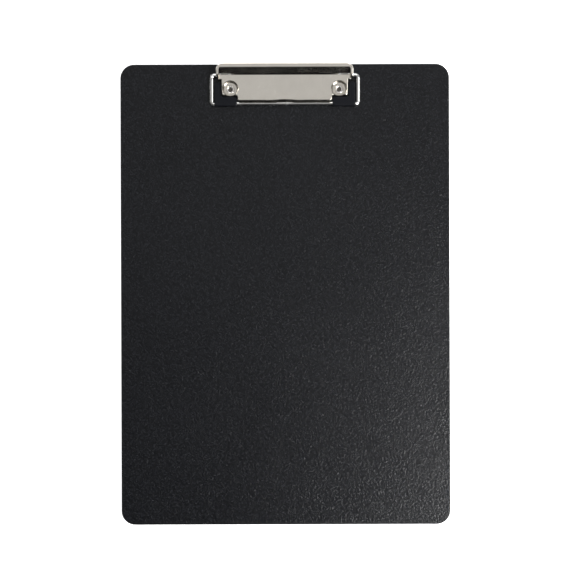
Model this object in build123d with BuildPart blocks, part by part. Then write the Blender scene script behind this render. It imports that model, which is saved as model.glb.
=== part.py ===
from build123d import *

# Clipboard: a flat board with a low press-type wire clip riveted along one short side.
# Millimetres, +Z up. The origin is the middle of the board's underside, +Y points to the clip.

import os
from math import cos, radians, sin

# ---- driving dimensions --------------------------------------------------------------

# board
BOARD_WIDTH = 225.0
BOARD_LENGTH = 315.0
BOARD_THICKNESS = 2.4
BOARD_CORNER_RADIUS = 9.5
BOARD_EDGE_RADIUS = 0.6

# clip wire and the line it turns about
WIRE_RADIUS = 1.45
WIRE_BEND_RADIUS = 2.0
PIVOT_Y = 149.4
PIVOT_Z = 4.7
SIDE_RUN_X = 50.0
FRONT_RUN_Y = 130.25
FRONT_RUN_Z = 4.15
CORNER_Y = 129.2
CORNER_EASE_X = 46.0
HOOK_X = 35.6
HOOK_LENGTH = 6.2
HOOK_ANGLE = 32.0
PIN_CLEARANCE = 0.05

# sheet metal base
BASE_SHEET = 0.8
BASE_TOP_Z = 7.8
BASE_REAR_Y = 149.6
BASE_SIDE_REAR_X = 43.2
BASE_SIDE_FRONT_X = 42.7
NOTCH_X = 32.1
NOTCH_Y = 135.6
BASE_FRONT_Y = 132.1
SCOOP_HALF_WIDTH = 15.7
SCOOP_DEPTH = 0.4
SCOOP_SHOULDER_X = 11.0
SCOOP_SHOULDER = 0.15
BASE_SIDE_CUT = (4.0, 6.0)
BASE_CORNER_RADIUS = 1.5
BASE_TOP_BEND = 0.5

# ears that carry the pivot
EAR_OUTER_X = 45.3
EAR_FRONT_Y = 146.8
EAR_LUG_RADIUS = 2.2
EAR_BEND_RADIUS = 1.0
EAR_WING_ROOT = 3.0
EAR_WING_DROP = 2.0

# rivets and their dishes
RIVET_X = 37.1
RIVET_Y = 139.8
RIVET_SHANK_RADIUS = 2.0
RIVET_HOLE_RADIUS = 2.05
RIVET_HEAD_RADIUS = 3.6
RIVET_HEAD_HEIGHT = 0.8
RIVET_RING_RADIUS = 2.8
RIVET_RING_HEIGHT = 1.2
RIVET_ROLL_RADIUS = 0.5
RIVET_HOLLOW_RADIUS = 1.5
RIVET_HOLLOW_FLOOR_Z = 2.2
COUNTERBORE_RADIUS = 3.8
COUNTERBORE_DEPTH = 0.9
DISH_Y = 140.3
DISH_FLOOR_RADIUS = 4.3
DISH_RIM_RADIUS = 5.1
DISH_FLARE = 0.2

# press handle
HANDLE_SHEET = 0.9
HANDLE_RIM = 1.2
HANDLE_HALF_WIDTH = 46.8
HANDLE_REAR_Y = 157.3
HANDLE_CREST_Y = 154.3
HANDLE_TOP_Z = 12.0
HANDLE_WEB_START = (150.4, 8.0)
HANDLE_FLANGE_Z = 8.8
HANDLE_LUG_RADIUS = 2.1
HANDLE_PLAN_RADIUS = 5.0
HANDLE_WEB_BEND = 1.0
HANDLE_FRONT_Y = 147.4
HANDLE_FRONT_RADIUS = 2.5
HANDLE_BEAD_WIDTH = 1.8
HANDLE_BEAD_HEIGHT = 1.6
HANDLE_EDGE_RADIUS = 0.7

# corner pads
PAD_INNER_X = 32.6
PAD_OUTER_X = 48.1
PAD_FRONT_Y = 128.5
PAD_REAR_Y = 134.9
PAD_ARM_INNER_X = 43.5
PAD_ARM_REAR_Y = 145.1
PAD_BOTTOM_Z = 2.5
PAD_TOP_Z = 6.2
PAD_CORNER_RADIUS = 1.3
PAD_EDGE_RADIUS = 0.7

# torsion springs
SPRING_WIRE_RADIUS = 0.25
SPRING_MEAN_RADIUS = 2.0
SPRING_INNER_X = 38.4
SPRING_PITCH = 0.7
SPRING_TURNS = 7.5
SPRING_UPPER_STRAIGHT = 2.4
SPRING_UPPER_RISE = (2.4, 3.6)
SPRING_LOWER_LENGTH = 3.6

SIDES = {"left": -1, "right": 1}


def mirrored(points):
    """The points, then their mirror images in reverse order, for a path across the middle."""
    return points + [(-x, *rest) for x, *rest in reversed(points)]


# ---- board ---------------------------------------------------------------------------

with BuildPart() as board:
    with BuildSketch():
        RectangleRounded(BOARD_WIDTH, BOARD_LENGTH, BOARD_CORNER_RADIUS)
    extrude(amount=BOARD_THICKNESS)
    flat_faces = board.faces().filter_by(Axis.Z)
    fillet(flat_faces.edges(), BOARD_EDGE_RADIUS)
    with BuildSketch():
        with Locations((-RIVET_X, RIVET_Y), (RIVET_X, RIVET_Y)):
            Circle(RIVET_HOLE_RADIUS)
    extrude(amount=BOARD_THICKNESS, mode=Mode.SUBTRACT)
    with BuildSketch():
        with Locations((-RIVET_X, RIVET_Y), (RIVET_X, RIVET_Y)):
            Circle(COUNTERBORE_RADIUS)
    extrude(amount=COUNTERBORE_DEPTH, mode=Mode.SUBTRACT)
board.part.label = "board"

# ---- base plate: one pressed sheet ---------------------------------------------------


def base_outline(inset, rear_y):
    """Plan of the base, moved in by inset, with its open rear edge at rear_y."""
    side_rear = (BASE_SIDE_REAR_X - inset, rear_y)
    side_front = (BASE_SIDE_FRONT_X - inset, NOTCH_Y + inset)
    notch = (NOTCH_X - inset, NOTCH_Y + inset)
    front = (NOTCH_X - inset, BASE_FRONT_Y + inset)
    scoop_end = (SCOOP_HALF_WIDTH, BASE_FRONT_Y + inset)
    shoulder = (SCOOP_SHOULDER_X, BASE_FRONT_Y - SCOOP_SHOULDER + inset)
    scoop_middle = (0, BASE_FRONT_Y + SCOOP_DEPTH + inset)
    half = [side_rear, side_front, notch, front, scoop_end]
    other = mirrored(half)[len(half):]
    scoop = mirrored([scoop_end, shoulder])
    scoop.insert(2, scoop_middle)
    with BuildSketch() as outline:
        with BuildLine():
            Polyline(*half)
            Spline(*scoop, tangents=[(-1, 0), (-1, 0)])
            Polyline(*other)
            Line(other[-1], half[0])
        make_face()
        corners = outline.vertices().filter_by(lambda v: v.Y < rear_y - 1)
        corners = corners.filter_by(lambda v: abs(v.X) > SCOOP_HALF_WIDTH + 1)
        fillet(corners, BASE_CORNER_RADIUS)
    return outline.sketch


with BuildPart() as base_hollow:
    add(base_outline(BASE_SHEET, BASE_REAR_Y + 10))
    extrude(amount=BASE_TOP_Z - BASE_SHEET)

with BuildPart() as base_plate:
    with BuildSketch(Plane.XY.offset(BOARD_THICKNESS)):
        add(base_outline(0, BASE_REAR_Y))
    extrude(amount=BASE_TOP_Z - BOARD_THICKNESS)
    plate_top = base_plate.faces().sort_by(Axis.Z)[-1]
    closed_edges = plate_top.edges().filter_by(lambda e: e.center().Y < BASE_REAR_Y - 1)
    fillet(closed_edges, BASE_TOP_BEND)
    add(base_hollow.part, mode=Mode.SUBTRACT)

    wing_root_x = BASE_SIDE_REAR_X - EAR_WING_ROOT
    ear_inner_x = EAR_OUTER_X - BASE_SHEET
    for side in SIDES.values():
        # the side wall stops short of the spring
        with BuildSketch(Plane.XY.offset(BOARD_THICKNESS)):
            with Locations((side * BASE_SIDE_REAR_X, EAR_FRONT_Y)):
                Rectangle(*BASE_SIDE_CUT, align=(Align.CENTER, Align.MIN))
        extrude(amount=BASE_TOP_Z - BASE_SHEET - BOARD_THICKNESS, mode=Mode.SUBTRACT)

        # ear: a wing of the top, bent down into a lug round the pivot
        with BuildSketch(Plane.XZ.offset(-BASE_REAR_Y)) as wing:
            with BuildLine():
                Polyline(
                    (side * wing_root_x, BASE_TOP_Z),
                    (side * EAR_OUTER_X, BASE_TOP_Z),
                    (side * EAR_OUTER_X, BASE_TOP_Z - EAR_WING_DROP),
                    (side * ear_inner_x, BASE_TOP_Z - EAR_WING_DROP),
                    (side * ear_inner_x, BASE_TOP_Z - BASE_SHEET),
                    (side * wing_root_x, BASE_TOP_Z - BASE_SHEET),
                    close=True,
                )
            make_face()
            bend = wing.vertices().sort_by(Axis.Y)[-2:].sort_by(lambda v: abs(v.X))[-1]
            fillet(bend, EAR_BEND_RADIUS)
        extrude(amount=BASE_REAR_Y - EAR_FRONT_Y)
        with BuildSketch(Plane.YZ.offset(side * (EAR_OUTER_X - BASE_SHEET / 2))):
            with Locations((PIVOT_Y, PIVOT_Z)):
                Circle(EAR_LUG_RADIUS)
            with BuildLine():
                Polyline(
                    (EAR_FRONT_Y, PIVOT_Z),
                    (EAR_FRONT_Y, BASE_TOP_Z - EAR_BEND_RADIUS),
                    (BASE_REAR_Y, BASE_TOP_Z - EAR_BEND_RADIUS),
                    (PIVOT_Y + EAR_LUG_RADIUS, PIVOT_Z),
                    close=True,
                )
            make_face()
        extrude(amount=BASE_SHEET / 2, both=True)

        # dish: a cup drawn down to the board, open at the notch
        dish_plane = Plane((side * RIVET_X, DISH_Y, 0), x_dir=(1, 0, 0), z_dir=(0, -1, 0))
        dish_axis = Axis((side * RIVET_X, DISH_Y, 0), (0, 0, 1))
        with BuildSketch(dish_plane):
            with BuildLine():
                Polyline(
                    (0, BOARD_THICKNESS),
                    (DISH_FLOOR_RADIUS + BASE_SHEET, BOARD_THICKNESS),
                    (DISH_RIM_RADIUS + BASE_SHEET, BASE_TOP_Z - BASE_SHEET),
                    (0, BASE_TOP_Z - BASE_SHEET),
                    close=True,
                )
            make_face()
        revolve(axis=dish_axis)
        with BuildSketch(dish_plane):
            with BuildLine():
                Polyline(
                    (0, BOARD_THICKNESS + BASE_SHEET),
                    (DISH_FLOOR_RADIUS, BOARD_THICKNESS + BASE_SHEET),
                    (DISH_RIM_RADIUS, BASE_TOP_Z - 3 * DISH_FLARE),
                    (DISH_RIM_RADIUS + DISH_FLARE, BASE_TOP_Z - DISH_FLARE),
                    (DISH_RIM_RADIUS + 2 * DISH_FLARE, BASE_TOP_Z),
                    (DISH_RIM_RADIUS + 2 * DISH_FLARE, BASE_TOP_Z + 1),
                    (0, BASE_TOP_Z + 1),
                    close=True,
                )
            make_face()
        revolve(axis=dish_axis, mode=Mode.SUBTRACT)
        with BuildSketch(Plane.XY.offset(BOARD_THICKNESS)):
            with Locations((side * (NOTCH_X + 15), NOTCH_Y - 15)):
                Rectangle(30, 30)
        extrude(amount=BASE_TOP_Z, mode=Mode.SUBTRACT)

    with BuildSketch():
        with Locations((-RIVET_X, RIVET_Y), (RIVET_X, RIVET_Y)):
            Circle(RIVET_HOLE_RADIUS)
    extrude(amount=BASE_TOP_Z, mode=Mode.SUBTRACT)
    with BuildSketch(Plane.YZ):
        with Locations((PIVOT_Y, PIVOT_Z)):
            Circle(WIRE_RADIUS + PIN_CLEARANCE)
    extrude(amount=EAR_OUTER_X + 1, both=True, mode=Mode.SUBTRACT)
base_plate.part.label = "base_plate"

# ---- rivets: a flush head below, a rolled hollow ring in the dish --------------------

head_bottom = COUNTERBORE_DEPTH - RIVET_HEAD_HEIGHT
ring_bottom = BOARD_THICKNESS + BASE_SHEET
ring_top = ring_bottom + RIVET_RING_HEIGHT
rivets = {}
for name, side in SIDES.items():
    rivet_plane = Plane((side * RIVET_X, RIVET_Y, 0), x_dir=(1, 0, 0), z_dir=(0, -1, 0))
    with BuildPart() as rivet:
        with BuildSketch(rivet_plane) as section:
            with BuildLine():
                Polyline(
                    (0, head_bottom),
                    (RIVET_HEAD_RADIUS, head_bottom),
                    (RIVET_HEAD_RADIUS, COUNTERBORE_DEPTH),
                    (RIVET_SHANK_RADIUS, COUNTERBORE_DEPTH),
                    (RIVET_SHANK_RADIUS, ring_bottom),
                    (RIVET_RING_RADIUS, ring_bottom),
                    (RIVET_RING_RADIUS, ring_top),
                    (RIVET_HOLLOW_RADIUS, ring_top),
                    (RIVET_HOLLOW_RADIUS, RIVET_HOLLOW_FLOOR_Z),
                    (0, RIVET_HOLLOW_FLOOR_Z),
                    close=True,
                )
            make_face()
            ring_corners = section.vertices().group_by(Axis.Y)[-1]
            fillet(ring_corners, RIVET_ROLL_RADIUS)
        revolve(axis=Axis((side * RIVET_X, RIVET_Y, 0), (0, 0, 1)))
    rivet.part.label = f"rivet_{name}"
    rivets[name] = rivet

# ---- press handle: a bent sheet with rimmed sides, turning with the wire -------------

with BuildPart() as handle_inside:
    # narrower under the crest, where the sheet is rolled into a thicker bead
    bead_bottom = HANDLE_TOP_Z - HANDLE_BEAD_HEIGHT
    for rim, bottom, top in [
        (HANDLE_RIM, 0, bead_bottom),
        (HANDLE_BEAD_WIDTH, bead_bottom, HANDLE_TOP_Z + 1),
    ]:
        with BuildSketch(Plane.XY.offset(bottom)) as inside_plan:
            with Locations((0, HANDLE_REAR_Y - HANDLE_SHEET)):
                Rectangle(2 * (HANDLE_HALF_WIDTH - rim), 30, align=(Align.CENTER, Align.MAX))
            inside_corners = inside_plan.vertices().group_by(Axis.Y)[-1]
            fillet(inside_corners, HANDLE_PLAN_RADIUS - HANDLE_SHEET)
        extrude(amount=top - bottom)

with BuildPart() as press_handle:
    # side view of the rimmed sides: a lug round the pivot, the rim level with the lip
    with BuildSketch(Plane.YZ) as side_view:
        with BuildLine():
            CenterArc((PIVOT_Y, PIVOT_Z), HANDLE_LUG_RADIUS, 0, 360)
            Polyline(
                (HANDLE_REAR_Y, HANDLE_FLANGE_Z),
                (HANDLE_REAR_Y, HANDLE_TOP_Z),
                (HANDLE_FRONT_Y, HANDLE_TOP_Z),
                close=True,
            )
        make_hull()
        front_corner = side_view.vertices().sort_by(Axis.Y)[-2:].sort_by(Axis.X)[0]
        fillet(front_corner, HANDLE_FRONT_RADIUS)
    extrude(amount=HANDLE_HALF_WIDTH, both=True)
    add(handle_inside.part, mode=Mode.SUBTRACT)

    # web and lip: one strip between the sides
    with BuildSketch(Plane.YZ):
        with BuildLine():
            FilletPolyline(
                HANDLE_WEB_START,
                (HANDLE_CREST_Y, HANDLE_TOP_Z),
                (HANDLE_REAR_Y, HANDLE_TOP_Z),
                radius=HANDLE_WEB_BEND,
            )
            offset(amount=HANDLE_SHEET, side=Side.RIGHT)
        make_face()
    extrude(amount=HANDLE_HALF_WIDTH - HANDLE_RIM / 2, both=True)

    with BuildSketch() as plan:
        with Locations((0, HANDLE_REAR_Y)):
            Rectangle(2 * HANDLE_HALF_WIDTH, 30, align=(Align.CENTER, Align.MAX))
        fillet(plan.vertices().group_by(Axis.Y)[-1], HANDLE_PLAN_RADIUS)
    extrude(amount=HANDLE_TOP_Z + 1, mode=Mode.INTERSECT)
    # the outer edges of the crest are rolled over; the short ends of the bead stay square
    crest = press_handle.faces().sort_by(Axis.Z)[-1]
    bead_x = HANDLE_HALF_WIDTH - HANDLE_BEAD_WIDTH
    side_edges = crest.edges().filter_by(lambda e: abs(e.center().X) > bead_x)
    long_side_edges = side_edges.filter_by(lambda e: e.length > HANDLE_BEAD_WIDTH + 0.1)
    rear_edge = crest.edges().sort_by(Axis.Y)[-1:]
    fillet(long_side_edges + rear_edge, HANDLE_EDGE_RADIUS)
    with BuildSketch(Plane.YZ):
        with Locations((PIVOT_Y, PIVOT_Z)):
            Circle(WIRE_RADIUS + PIN_CLEARANCE)
    extrude(amount=HANDLE_HALF_WIDTH + 1, both=True, mode=Mode.SUBTRACT)
press_handle.part.label = "press_handle"

# ---- jaw wire: one bent wire, front run, side runs, pivot pins and inner hooks -------

hook_end = (
    HOOK_X,
    PIVOT_Y + HOOK_LENGTH * cos(radians(HOOK_ANGLE)),
    PIVOT_Z + HOOK_LENGTH * sin(radians(HOOK_ANGLE)),
)
wire_points = [
    hook_end,
    (HOOK_X, PIVOT_Y, PIVOT_Z),
    (SIDE_RUN_X, PIVOT_Y, PIVOT_Z),
    (SIDE_RUN_X, CORNER_Y, FRONT_RUN_Z),
    (CORNER_EASE_X, FRONT_RUN_Y, FRONT_RUN_Z),
]
with BuildPart() as jaw_wire:
    with BuildLine() as wire_path:
        FilletPolyline(*mirrored(wire_points), radius=WIRE_BEND_RADIUS)
    with BuildSketch(Plane(wire_path.line @ 0, z_dir=wire_path.line % 0)):
        Circle(WIRE_RADIUS)
    sweep()
jaw_wire.part.label = "jaw_wire"

# ---- corner pads: plastic corners snapped over the ends of the front run -------------

pads = {}
for name, side in SIDES.items():
    with BuildPart() as pad:
        with BuildSketch(Plane.XY.offset(PAD_BOTTOM_Z)) as pad_plan:
            with BuildLine():
                Polyline(
                    (side * PAD_INNER_X, PAD_FRONT_Y),
                    (side * PAD_OUTER_X, PAD_FRONT_Y),
                    (side * PAD_OUTER_X, PAD_ARM_REAR_Y),
                    (side * PAD_ARM_INNER_X, PAD_ARM_REAR_Y),
                    (side * PAD_ARM_INNER_X, PAD_REAR_Y),
                    (side * PAD_INNER_X, PAD_REAR_Y),
                    close=True,
                )
            make_face()
            fillet(pad_plan.vertices(), PAD_CORNER_RADIUS)
        extrude(amount=PAD_TOP_Z - PAD_BOTTOM_Z)
        fillet(pad.faces().sort_by(Axis.Z)[-1].edges(), PAD_EDGE_RADIUS)
        with BuildSketch(Plane(wire_path.line @ 0, z_dir=wire_path.line % 0)):
            Circle(WIRE_RADIUS + PIN_CLEARANCE)
        sweep(path=wire_path.line, mode=Mode.SUBTRACT)
    pad.part.label = f"corner_pad_{name}"
    pads[name] = pad

# ---- torsion springs: coils round the pivot pins, both legs pointing to the rear -----

coil_length = SPRING_PITCH * SPRING_TURNS
with BuildPart() as right_spring:
    with BuildLine() as spring_path:
        coil = Helix(
            SPRING_PITCH,
            coil_length,
            SPRING_MEAN_RADIUS,
            center=(SPRING_INNER_X, PIVOT_Y, PIVOT_Z),
            direction=(1, 0, 0),
        )
        upper_bend = coil @ 0 - coil % 0 * SPRING_UPPER_STRAIGHT
        upper_end = upper_bend + Vector(0, *SPRING_UPPER_RISE)
        FilletPolyline(coil @ 0, upper_bend, upper_end, radius=1.0)
        Line(coil @ 1, coil @ 1 + coil % 1 * SPRING_LOWER_LENGTH)
    path_start = Plane(upper_end, z_dir=upper_bend - upper_end)
    with BuildSketch(path_start):
        Circle(SPRING_WIRE_RADIUS)
    sweep(path=spring_path.wires()[0])
right_spring.part.label = "torsion_spring_right"

with BuildPart() as left_spring:
    add(mirror(right_spring.part, about=Plane.YZ))
left_spring.part.label = "torsion_spring_left"

# ---- files ---------------------------------------------------------------------------

pieces = [board, base_plate, press_handle, jaw_wire]
pieces += [*rivets.values(), *pads.values(), left_spring, right_spring]
os.makedirs("parts", exist_ok=True)
for piece in pieces:
    export_step(piece.part, f"parts/{piece.part.label}.step")
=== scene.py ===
import bpy
from math import cos, radians, sin
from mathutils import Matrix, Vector


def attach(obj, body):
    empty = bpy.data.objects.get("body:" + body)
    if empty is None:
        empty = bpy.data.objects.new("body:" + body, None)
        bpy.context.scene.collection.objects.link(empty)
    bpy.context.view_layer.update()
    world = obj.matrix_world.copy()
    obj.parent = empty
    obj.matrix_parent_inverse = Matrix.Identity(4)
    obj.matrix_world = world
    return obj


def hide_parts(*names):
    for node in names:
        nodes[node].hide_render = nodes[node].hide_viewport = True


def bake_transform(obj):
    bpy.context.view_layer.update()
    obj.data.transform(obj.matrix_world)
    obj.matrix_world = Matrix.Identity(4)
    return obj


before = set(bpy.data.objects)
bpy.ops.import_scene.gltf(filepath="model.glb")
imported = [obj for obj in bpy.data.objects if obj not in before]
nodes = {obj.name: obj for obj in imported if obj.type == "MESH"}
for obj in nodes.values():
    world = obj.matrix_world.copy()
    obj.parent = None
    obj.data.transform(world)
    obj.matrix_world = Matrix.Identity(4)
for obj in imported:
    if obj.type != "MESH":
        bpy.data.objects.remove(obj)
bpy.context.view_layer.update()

MM = 0.001
scene = bpy.context.scene
scene.view_settings.view_transform = "Standard"


# ---- camera: straight down on the board ------------------------------------------------

CAMERA_HEIGHT = 1.25
FRAME_WIDTH = 0.394
LOOK_AT = (0.0018, 0.0043)
CAMERA_ROLL = radians(-0.18)
SENSOR_WIDTH = 36
BOARD_TOP = 2.4 * MM

camera_data = bpy.data.cameras.new("camera")
camera_data.sensor_width = SENSOR_WIDTH
camera_data.lens = SENSOR_WIDTH * CAMERA_HEIGHT / FRAME_WIDTH
camera_data.clip_end = 20
camera = bpy.data.objects.new("camera", camera_data)
camera.location = (*LOOK_AT, CAMERA_HEIGHT + BOARD_TOP)
camera.rotation_euler = (0, 0, CAMERA_ROLL)
scene.collection.objects.link(camera)
scene.camera = camera


# ---- shader helpers --------------------------------------------------------------------

# places of the colour sockets on a Mix node
MIX_COLOUR_A = 6
MIX_COLOUR_B = 7
MIX_COLOUR_RESULT = 2


class Value:
    """A socket in a material; sums and products of values add Math nodes."""

    def __init__(self, maker, socket):
        self.maker = maker
        self.socket = socket

    def math(self, operation, *others):
        operands = dict(enumerate([self, *others]))
        return self.maker.add("Math", {"operation": operation}, operands)["Value"]

    def __add__(self, other):
        return self.math("ADD", other)

    def __mul__(self, other):
        return self.math("MULTIPLY", other)

    def __rsub__(self, other):
        return self.maker.number(other).math("SUBTRACT", self)

    __radd__ = __add__

    def clamped(self):
        return self.maker.add("Clamp", {}, {"Value": self})["Result"]


class Made:
    """A node that was added; indexing gives one of its outputs as a Value."""

    def __init__(self, maker, node):
        self.maker = maker
        self.node = node

    def __getitem__(self, output):
        return Value(self.maker, self.node.outputs[output])


class Finish:
    """A material under construction."""

    def __init__(self, name):
        self.material = bpy.data.materials.new(name)
        self.material.use_nodes = True
        self.tree = self.material.node_tree
        self.tree.nodes.clear()
        self.place = self.add("TexCoord")["Object"]

    def add(self, kind, settings=None, sockets=None):
        node = self.tree.nodes.new("ShaderNode" + kind)
        for key, value in (settings or {}).items():
            setattr(node, key, value)
        for key, value in (sockets or {}).items():
            if isinstance(value, Value):
                self.tree.links.new(value.socket, node.inputs[key])
            else:
                node.inputs[key].default_value = value
        return Made(self, node)

    def number(self, value):
        return self.add("Math", {"operation": "ADD"}, {0: value, 1: 0.0})["Value"]

    def noise(self, scale, detail=3.0, roughness=0.5, place=None):
        sockets = {"Vector": place or self.place, "Scale": scale}
        sockets.update({"Detail": detail, "Roughness": roughness})
        return self.add("TexNoise", {}, sockets)["Fac"]

    def ramp(self, value, low, high):
        sockets = {"Value": value, "From Min": low, "From Max": high}
        return self.add("MapRange", {}, sockets)["Result"]

    def blend(self, factor, first, second):
        """first where factor is 0, second where it is 1; each is a colour or a Value."""
        sockets = {"Factor": factor}
        for index, colour in ((MIX_COLOUR_A, first), (MIX_COLOUR_B, second)):
            sockets[index] = colour if isinstance(colour, Value) else (*colour, 1)
        return self.add("Mix", {"data_type": "RGBA"}, sockets)[MIX_COLOUR_RESULT]

    def bump(self, height, strength, distance):
        sockets = {"Height": height, "Strength": strength, "Distance": distance}
        return self.add("Bump", {}, sockets)["Normal"]

    def surface(self, **sockets):
        named = {key.replace("_", " "): value for key, value in sockets.items()}
        shader = self.add("BsdfPrincipled", {}, named)["BSDF"]
        self.add("OutputMaterial", {}, {"Surface": shader})
        return self.material


# a scratch is noise stretched along one direction, shown above a threshold
SCRATCH_TURN = 1.3
SCRATCH_STRETCH = (1, 0.04, 1)
SCRATCH_SCALE = 1400
SCRATCH_SCALE_STEP = 350
SCRATCH_THRESHOLD = 0.66


def scratches(finish, count, first_turn, width):
    """Fine straight marks in several directions, 1 on a mark."""
    marks = None
    for turn in range(count):
        rotation = (0, 0, first_turn + SCRATCH_TURN * turn)
        sockets = {"Vector": finish.place, "Rotation": rotation, "Scale": SCRATCH_STRETCH}
        along = finish.add("Mapping", {}, sockets)["Vector"]
        lines = finish.noise(SCRATCH_SCALE + SCRATCH_SCALE_STEP * turn, 2.0, 0.6, along)
        mark = finish.ramp(lines, SCRATCH_THRESHOLD, SCRATCH_THRESHOLD + width)
        marks = mark if marks is None else marks.math("MAXIMUM", mark)
    return marks


# colour of painted shade in recesses, mixed with some grime
SHADE_AND_GRIME_COLOUR = (0.05, 0.04, 0.03)
DULL_SHARE = 0.86


def plated_metal(name, tint, smooth, rough, shade_and_grime_heights=None):
    """Bright plated steel: faint polishing lines, a few scratches, cloudy gloss.

    The last argument gives the two heights, in metres, between which painted shade and grime in a
    recess fade out.
    """
    finish = Finish(name)
    clouds = finish.noise(90, 4.0, 0.6)
    fine = finish.noise(1500, 3.0, 0.6)
    marks = scratches(finish, 3, 0.4, 0.05)
    dull = tuple(DULL_SHARE * c for c in tint)
    colour = finish.blend(clouds, dull, tint)
    gloss = finish.ramp(clouds, 0.3, 0.7) * (rough - smooth) + smooth
    gloss = (gloss + marks * 0.12 + fine * 0.03).clamped()
    if shade_and_grime_heights:
        # painted shade with some grime: the colour darkens towards the bottom of recesses
        height = finish.add("SeparateXYZ", {}, {"Vector": finish.place})["Z"]
        shade_and_grime_share = (1 - finish.ramp(height, *shade_and_grime_heights)) * (0.75 + clouds * 0.25)
        colour = finish.blend(shade_and_grime_share, colour, SHADE_AND_GRIME_COLOUR)
        gloss = (gloss + shade_and_grime_share * 0.25).clamped()
    normal = finish.bump(fine * 0.5 + marks, 0.06, 0.00002)
    return finish.surface(Base_Color=colour, Metallic=1.0, Roughness=gloss, Normal=normal)


def board_plastic():
    """Black moulded sheet with a fine grain and faint paler specks."""
    finish = Finish("grained_black_plastic")
    cell_sockets = {"Vector": finish.place, "Scale": 720.0, "Randomness": 1.0}
    cells = finish.add("TexVoronoi", {"feature": "SMOOTH_F1"}, cell_sockets)["Distance"]
    grain = finish.noise(900, 4.0, 0.6)
    broad = finish.noise(14, 3.0, 0.5)
    specks = finish.ramp(finish.noise(1100, 4.0, 0.7), 0.45, 0.68)
    colour = finish.blend(broad, (0.0005, 0.0006, 0.0012), (0.0018, 0.0020, 0.0028))
    colour = finish.blend(specks, colour, (0.0110, 0.0118, 0.0145))
    rough = 0.17 + grain * 0.1 + broad * 0.04
    pebbles = finish.noise(980, 2.0, 0.5)
    normal = finish.bump(pebbles + cells * 0.4 + grain * 0.4, 0.62, 0.00034)
    return finish.surface(Base_Color=colour, Roughness=rough, Normal=normal, Specular_IOR_Level=0.3)


def pad_plastic():
    """Smooth black plastic with faint flow marks and handling scuffs."""
    finish = Finish("smooth_black_plastic")
    flow = finish.noise(160, 3.0, 0.5)
    scuffs = scratches(finish, 2, 1.1, 0.06)
    colour = finish.blend(flow, (0.0035, 0.0040, 0.0055), (0.0055, 0.0060, 0.0080))
    rough = 0.3 + flow * 0.1 + scuffs * 0.15
    normal = finish.bump(flow, 0.08, 0.00005)
    return finish.surface(Base_Color=colour, Roughness=rough, Normal=normal, Specular_IOR_Level=0.12)


# the last tuples give the heights of the painted shade and grime in recesses
sheet_metal = plated_metal("satin_nickel_sheet", (0.79, 0.75, 0.68), 0.09, 0.15, (0.0020, 0.0034))
wire_metal = plated_metal("bright_nickel_wire", (0.76, 0.75, 0.735), 0.08, 0.15)
rivet_metal = plated_metal("bright_nickel_rivet", (0.82, 0.80, 0.77), 0.08, 0.15, (0.0023, 0.0038))
spring_steel = plated_metal("spring_steel", (0.5, 0.5, 0.5), 0.25, 0.4)
black_sheet = board_plastic()
black_pad = pad_plastic()

finishes = {
    "board": black_sheet,
    "base_plate": sheet_metal,
    "press_handle": sheet_metal,
    "jaw_wire": wire_metal,
    "rivet_left": rivet_metal,
    "rivet_right": rivet_metal,
    "corner_pad_left": black_pad,
    "corner_pad_right": black_pad,
    "torsion_spring_left": spring_steel,
    "torsion_spring_right": spring_steel,
}
for node_name, material in finishes.items():
    mesh = nodes[node_name].data
    mesh.materials.clear()
    mesh.materials.append(material)


# ---- jaw wire: one round wire along a bent path ------------------------------------------

# the same route as the CAD wire; points in millimetres, PIVOT is (y, z)
WIRE_RADIUS = 1.45 * MM
BEND_RADIUS = 2.0 * MM
BEND_STEPS = 14
ROUND_STEPS = 28
PIVOT = (149.4, 4.7)
SIDE_RUN_X = 50.0
FRONT_CORNER_Y = 129.2
FRONT_RUN_Y = 130.25
FRONT_RUN_Z = 4.15
CORNER_EASE_X = 46.0
HOOK_X = 35.6
HOOK_LENGTH = 6.2
HOOK_ANGLE = radians(32)


def wire_corners():
    """Corners of the wire's path, from the right hook to the left one, in metres."""
    hook_y = PIVOT[0] + HOOK_LENGTH * cos(HOOK_ANGLE)
    hook_z = PIVOT[1] + HOOK_LENGTH * sin(HOOK_ANGLE)
    right = [
        (HOOK_X, hook_y, hook_z),
        (HOOK_X, *PIVOT),
        (SIDE_RUN_X, *PIVOT),
        (SIDE_RUN_X, FRONT_CORNER_Y, FRONT_RUN_Z),
        (CORNER_EASE_X, FRONT_RUN_Y, FRONT_RUN_Z),
    ]
    left = [(-x, y, z) for x, y, z in reversed(right)]
    return [Vector(corner) * MM for corner in right + left]


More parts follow.
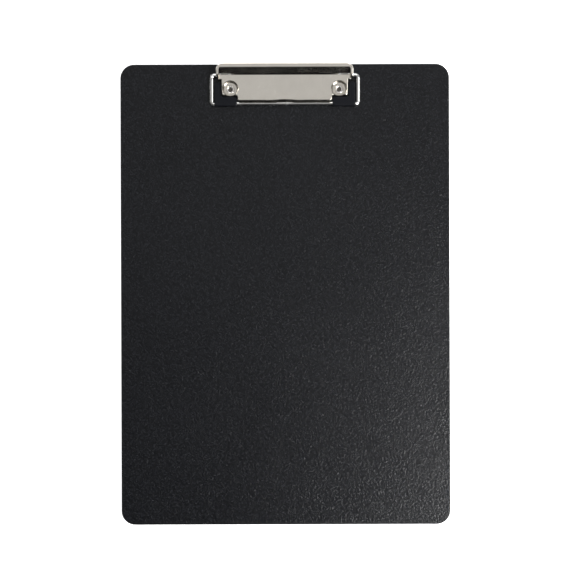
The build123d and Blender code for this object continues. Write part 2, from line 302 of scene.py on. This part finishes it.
def bent_wire(name, corners, radius, bend, material):
    """A round wire with rounded bends through the corners, made by a node tree."""
    tree = bpy.data.node_groups.new(name + "_maker", "GeometryNodeTree")
    sockets = tree.interface
    sockets.new_socket("Path", in_out="INPUT", socket_type="NodeSocketGeometry")
    for label in ("Wire Radius", "Bend Radius"):
        sockets.new_socket(label, in_out="INPUT", socket_type="NodeSocketFloat")
    sockets.new_socket("Wire", in_out="OUTPUT", socket_type="NodeSocketGeometry")

    def node(kind, links, **values):
        made = tree.nodes.new(kind)
        for socket, source in links.items():
            tree.links.new(source, made.inputs[socket])
        for socket, value in values.items():
            made.inputs[socket.replace("_", " ")].default_value = value
        return made

    given = tree.nodes.new("NodeGroupInput")
    path = node("GeometryNodeMeshToCurve", {"Mesh": given.outputs["Path"]})
    fillet = tree.nodes.new("GeometryNodeFilletCurve")
    fillet.mode = "POLY"
    fillet.inputs["Count"].default_value = BEND_STEPS
    tree.links.new(path.outputs[0], fillet.inputs["Curve"])
    tree.links.new(given.outputs["Bend Radius"], fillet.inputs["Radius"])
    circle_from = {"Radius": given.outputs["Wire Radius"]}
    circle = node("GeometryNodeCurvePrimitiveCircle", circle_from, Resolution=ROUND_STEPS)
    swept_from = {"Curve": fillet.outputs[0], "Profile Curve": circle.outputs[0]}
    swept = node("GeometryNodeCurveToMesh", swept_from, Fill_Caps=True)
    smooth = node("GeometryNodeSetShadeSmooth", {"Geometry": swept.outputs[0]})
    real = node("GeometryNodeRealizeInstances", {"Geometry": smooth.outputs[0]})
    finished = node("GeometryNodeSetMaterial", {"Geometry": real.outputs[0]}, Material=material)
    result = tree.nodes.new("NodeGroupOutput")
    tree.links.new(finished.outputs[0], result.inputs["Wire"])

    path_mesh = bpy.data.meshes.new(name + "_path")
    edges = [(index, index + 1) for index in range(len(corners) - 1)]
    path_mesh.from_pydata(corners, edges, [])
    carrier = bpy.data.objects.new(name + "_path", path_mesh)
    scene.collection.objects.link(carrier)
    modifier = carrier.modifiers.new("maker", "NODES")
    modifier.node_group = tree
    sizes = {"Wire Radius": radius, "Bend Radius": bend}
    for item in sockets.items_tree:
        if item.in_out == "INPUT" and item.name in sizes:
            modifier[item.identifier] = sizes[item.name]
    bpy.context.view_layer.update()
    evaluated = carrier.evaluated_get(bpy.context.evaluated_depsgraph_get())
    mesh = bpy.data.meshes.new_from_object(evaluated)
    bpy.data.objects.remove(carrier)
    wire = bpy.data.objects.new(name, mesh)
    scene.collection.objects.link(wire)
    return wire


clip_wire = bent_wire("clip_wire", wire_corners(), WIRE_RADIUS, BEND_RADIUS, wire_metal)
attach(clip_wire, "jaw")
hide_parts("jaw_wire")


# ---- torsion springs: copies of the CAD springs, left where the CAD put them ------------

for side in ("left", "right"):
    node_name = "torsion_spring_" + side
    spring_mesh = nodes[node_name].data.copy()
    spring_mesh.transform(nodes[node_name].matrix_world)
    spring = bpy.data.objects.new("spring_" + side, spring_mesh)
    scene.collection.objects.link(spring)
    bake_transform(spring)
    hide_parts(node_name)


# ---- floor and light -------------------------------------------------------------------

FLOOR_SIZE = 6.0
FLOOR_DROP = 0.1 * MM
FLOOR_GLOW = 0.95

half = FLOOR_SIZE / 2
floor_corners = [(-half, -half, 0), (half, -half, 0), (half, half, 0), (-half, half, 0)]
floor_mesh = bpy.data.meshes.new("floor")
floor_mesh.from_pydata(floor_corners, [], [(0, 1, 2, 3)])
floor = bpy.data.objects.new("floor", floor_mesh)
floor.location.z = -FLOOR_DROP
scene.collection.objects.link(floor)
floor_finish = Finish("pale_floor")
tone = floor_finish.noise(3, 2.0, 0.5)
floor_colour = floor_finish.blend(tone, (0.9, 0.9, 0.9), (0.93, 0.93, 0.93))
glow = {"Emission_Color": (1, 1, 1, 1), "Emission_Strength": FLOOR_GLOW}
floor_mesh.materials.append(
    floor_finish.surface(Base_Color=floor_colour, Roughness=0.9, **glow)
)


def soft_light(name, place, aim, width, height, watts):
    data = bpy.data.lights.new(name, "AREA")
    data.shape = "RECTANGLE"
    data.size = width
    data.size_y = height
    data.energy = watts
    light = bpy.data.objects.new(name, data)
    light.location = place
    direction = Vector(aim) - Vector(place)
    light.rotation_euler = direction.to_track_quat("-Z", "Y").to_euler()
    scene.collection.objects.link(light)


soft_light("overhead", (-0.05, 0.4, 1.9), (-0.05, 0.4, 0), 1.4, 1.0, 2.6)
soft_light("sheen", (0.80, -0.50, 1.25), (0.1, -0.1, 0), 0.42, 0.6, 32.0)
soft_light("right_side", (1.3, 0.3, 0.9), (0, 0.1, 0), 0.5, 0.7, 6.0)
soft_light("rear", (0.0, 1.45, 1.35), (0, 0.1, 0), 1.6, 0.5, 12.0)

# the studio: (height of the direction, level), dark at the horizon and straight overhead,
# pale between, and fading to FRONT_LEVEL of that towards the front
FRONT_FADE = (-0.7, 0.25)
FRONT_LEVEL = 0.12
SKY = [(0.0, 0.012), (0.24, 0.02), (0.45, 0.5), (0.74, 0.62), (0.88, 0.1), (1.0, 0.03)]
world = bpy.data.worlds.new("studio")
world.use_nodes = True
sky_nodes = world.node_tree.nodes
sky_links = world.node_tree.links
sky_direction = sky_nodes.new("ShaderNodeTexCoord")
parts = sky_nodes.new("ShaderNodeSeparateXYZ")
shades = sky_nodes.new("ShaderNodeValToRGB")
while len(shades.color_ramp.elements) < len(SKY):
    shades.color_ramp.elements.new(0.5)
for element, (position, level) in zip(shades.color_ramp.elements, SKY):
    element.position = position
    element.color = (level, level, level, 1)
sky_links.new(sky_direction.outputs["Generated"], parts.inputs[0])
sky_links.new(parts.outputs["Z"], shades.inputs["Fac"])
sky_links.new(shades.outputs["Color"], sky_nodes["Background"].inputs["Color"])
rearward = sky_nodes.new("ShaderNodeMapRange")
rearward.inputs["From Min"].default_value = FRONT_FADE[0]
rearward.inputs["From Max"].default_value = FRONT_FADE[1]
rearward.inputs["To Min"].default_value = FRONT_LEVEL
sky_links.new(parts.outputs["Y"], rearward.inputs["Value"])
sky_links.new(rearward.outputs["Result"], sky_nodes["Background"].inputs["Strength"])
scene.world = world


# ---- end -------------------------------------------------------------------------------

bpy.context.view_layer.update()
